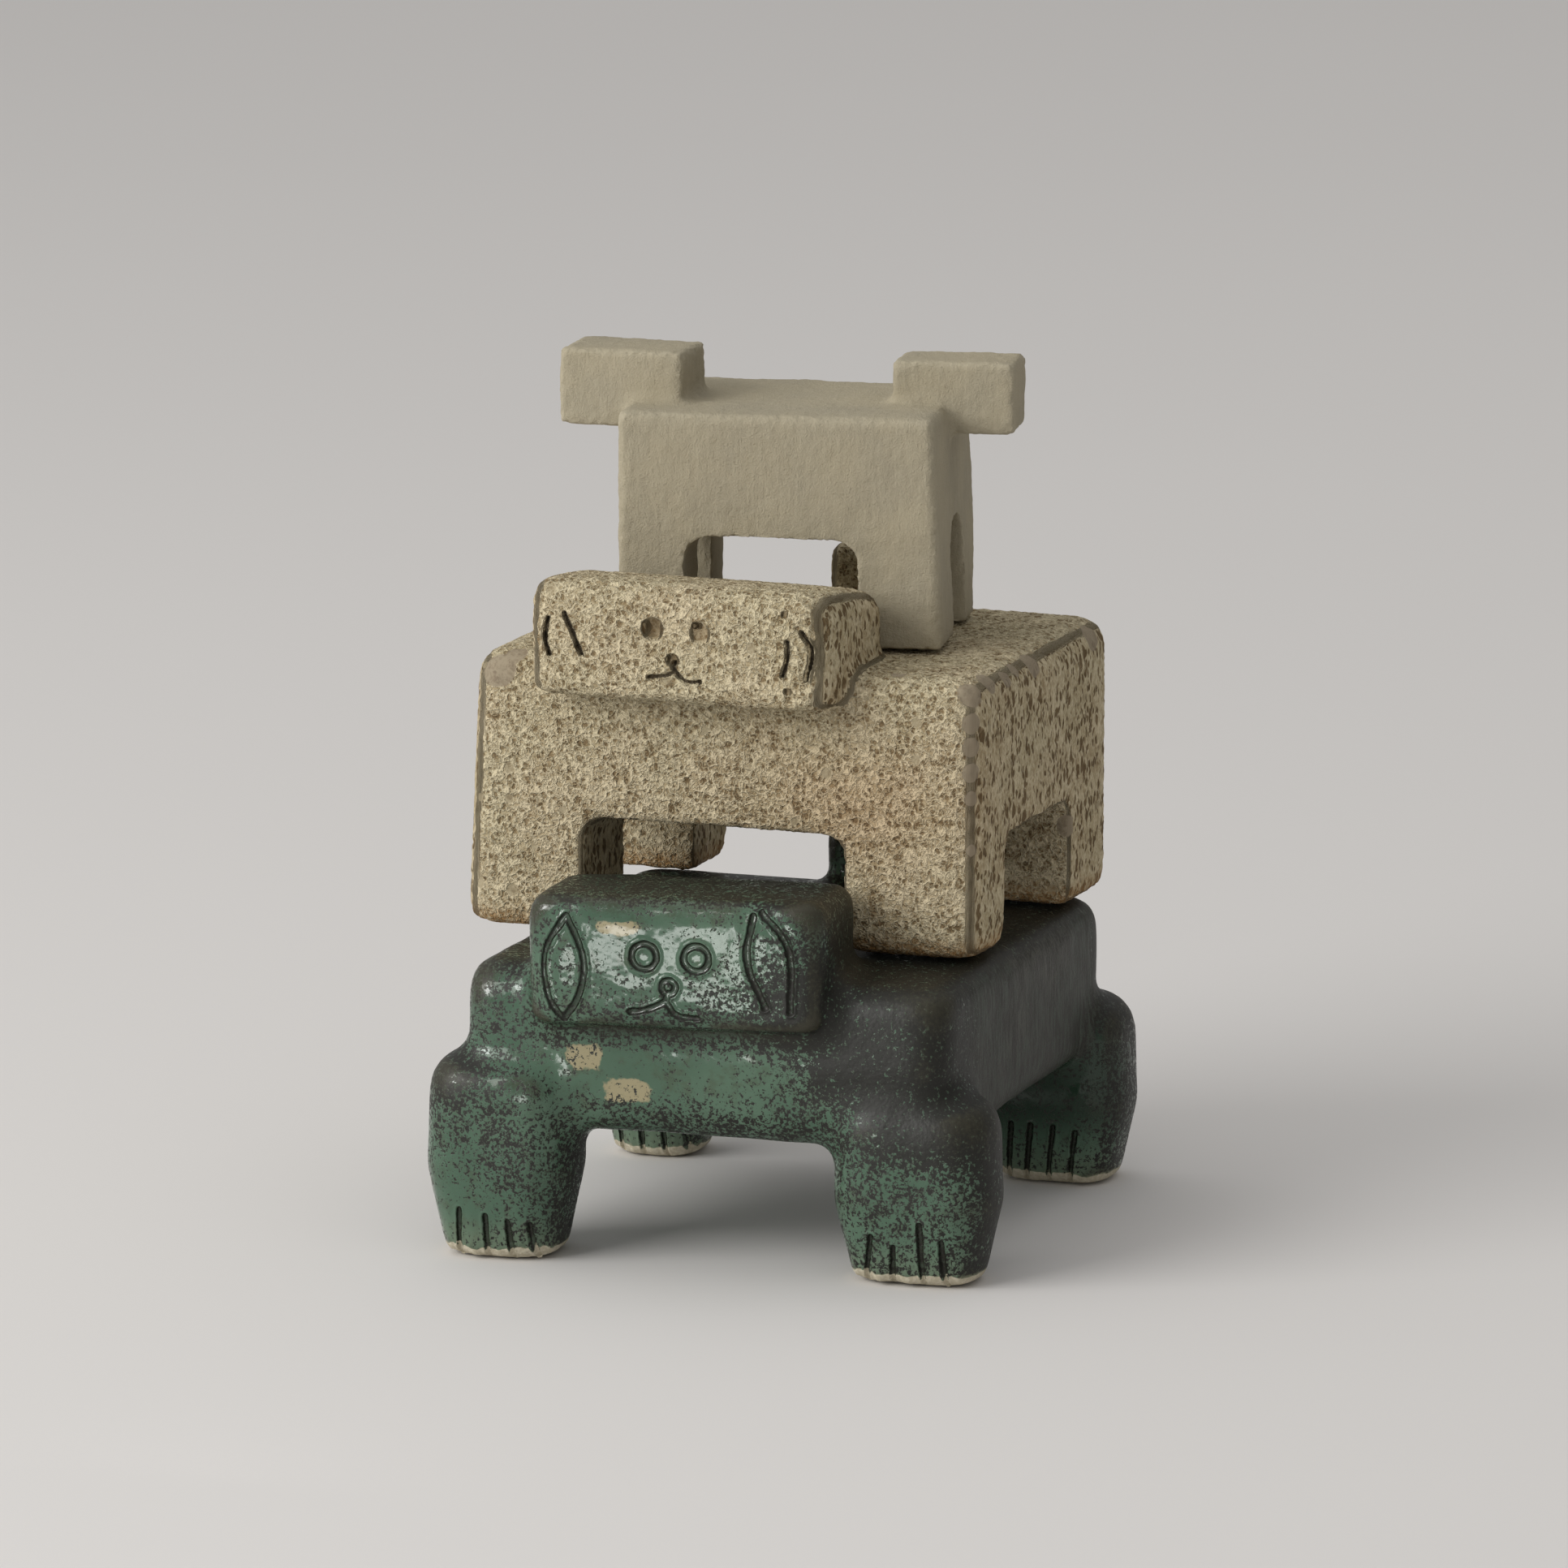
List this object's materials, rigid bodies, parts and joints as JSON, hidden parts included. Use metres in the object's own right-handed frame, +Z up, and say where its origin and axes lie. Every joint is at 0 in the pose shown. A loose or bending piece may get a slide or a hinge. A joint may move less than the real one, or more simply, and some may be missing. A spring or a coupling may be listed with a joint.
{
  "type": "stacked ceramic figure",
  "caption": "Hand-built ceramic animals standing one on another: a glazed dog, a crater-glazed dog and a bare clay animal with side blocks.",
  "frame": {"origin": "on the floor under the middle of the stack's bounding box", "axes": "+Z up; -Y is the side the faces look to; +X is to the right of a viewer who faces them"},
  "size_m": [0.1284, 0.129, 0.1852],
  "materials": {
    "green_glaze": "glossy sea-green glaze breaking to dark brown-black speckle, bare soles",
    "crater_glaze": "matte cream volcanic crater glaze over tan clay",
    "bare_stoneware": "unglazed warm grey stoneware, fine grog, matte"
  },
  "bodies": {
    "root": {"green_dog": "green_glaze", "cream_dog": "crater_glaze", "pale_animal": "bare_stoneware"}
  },
  "joints": []
}
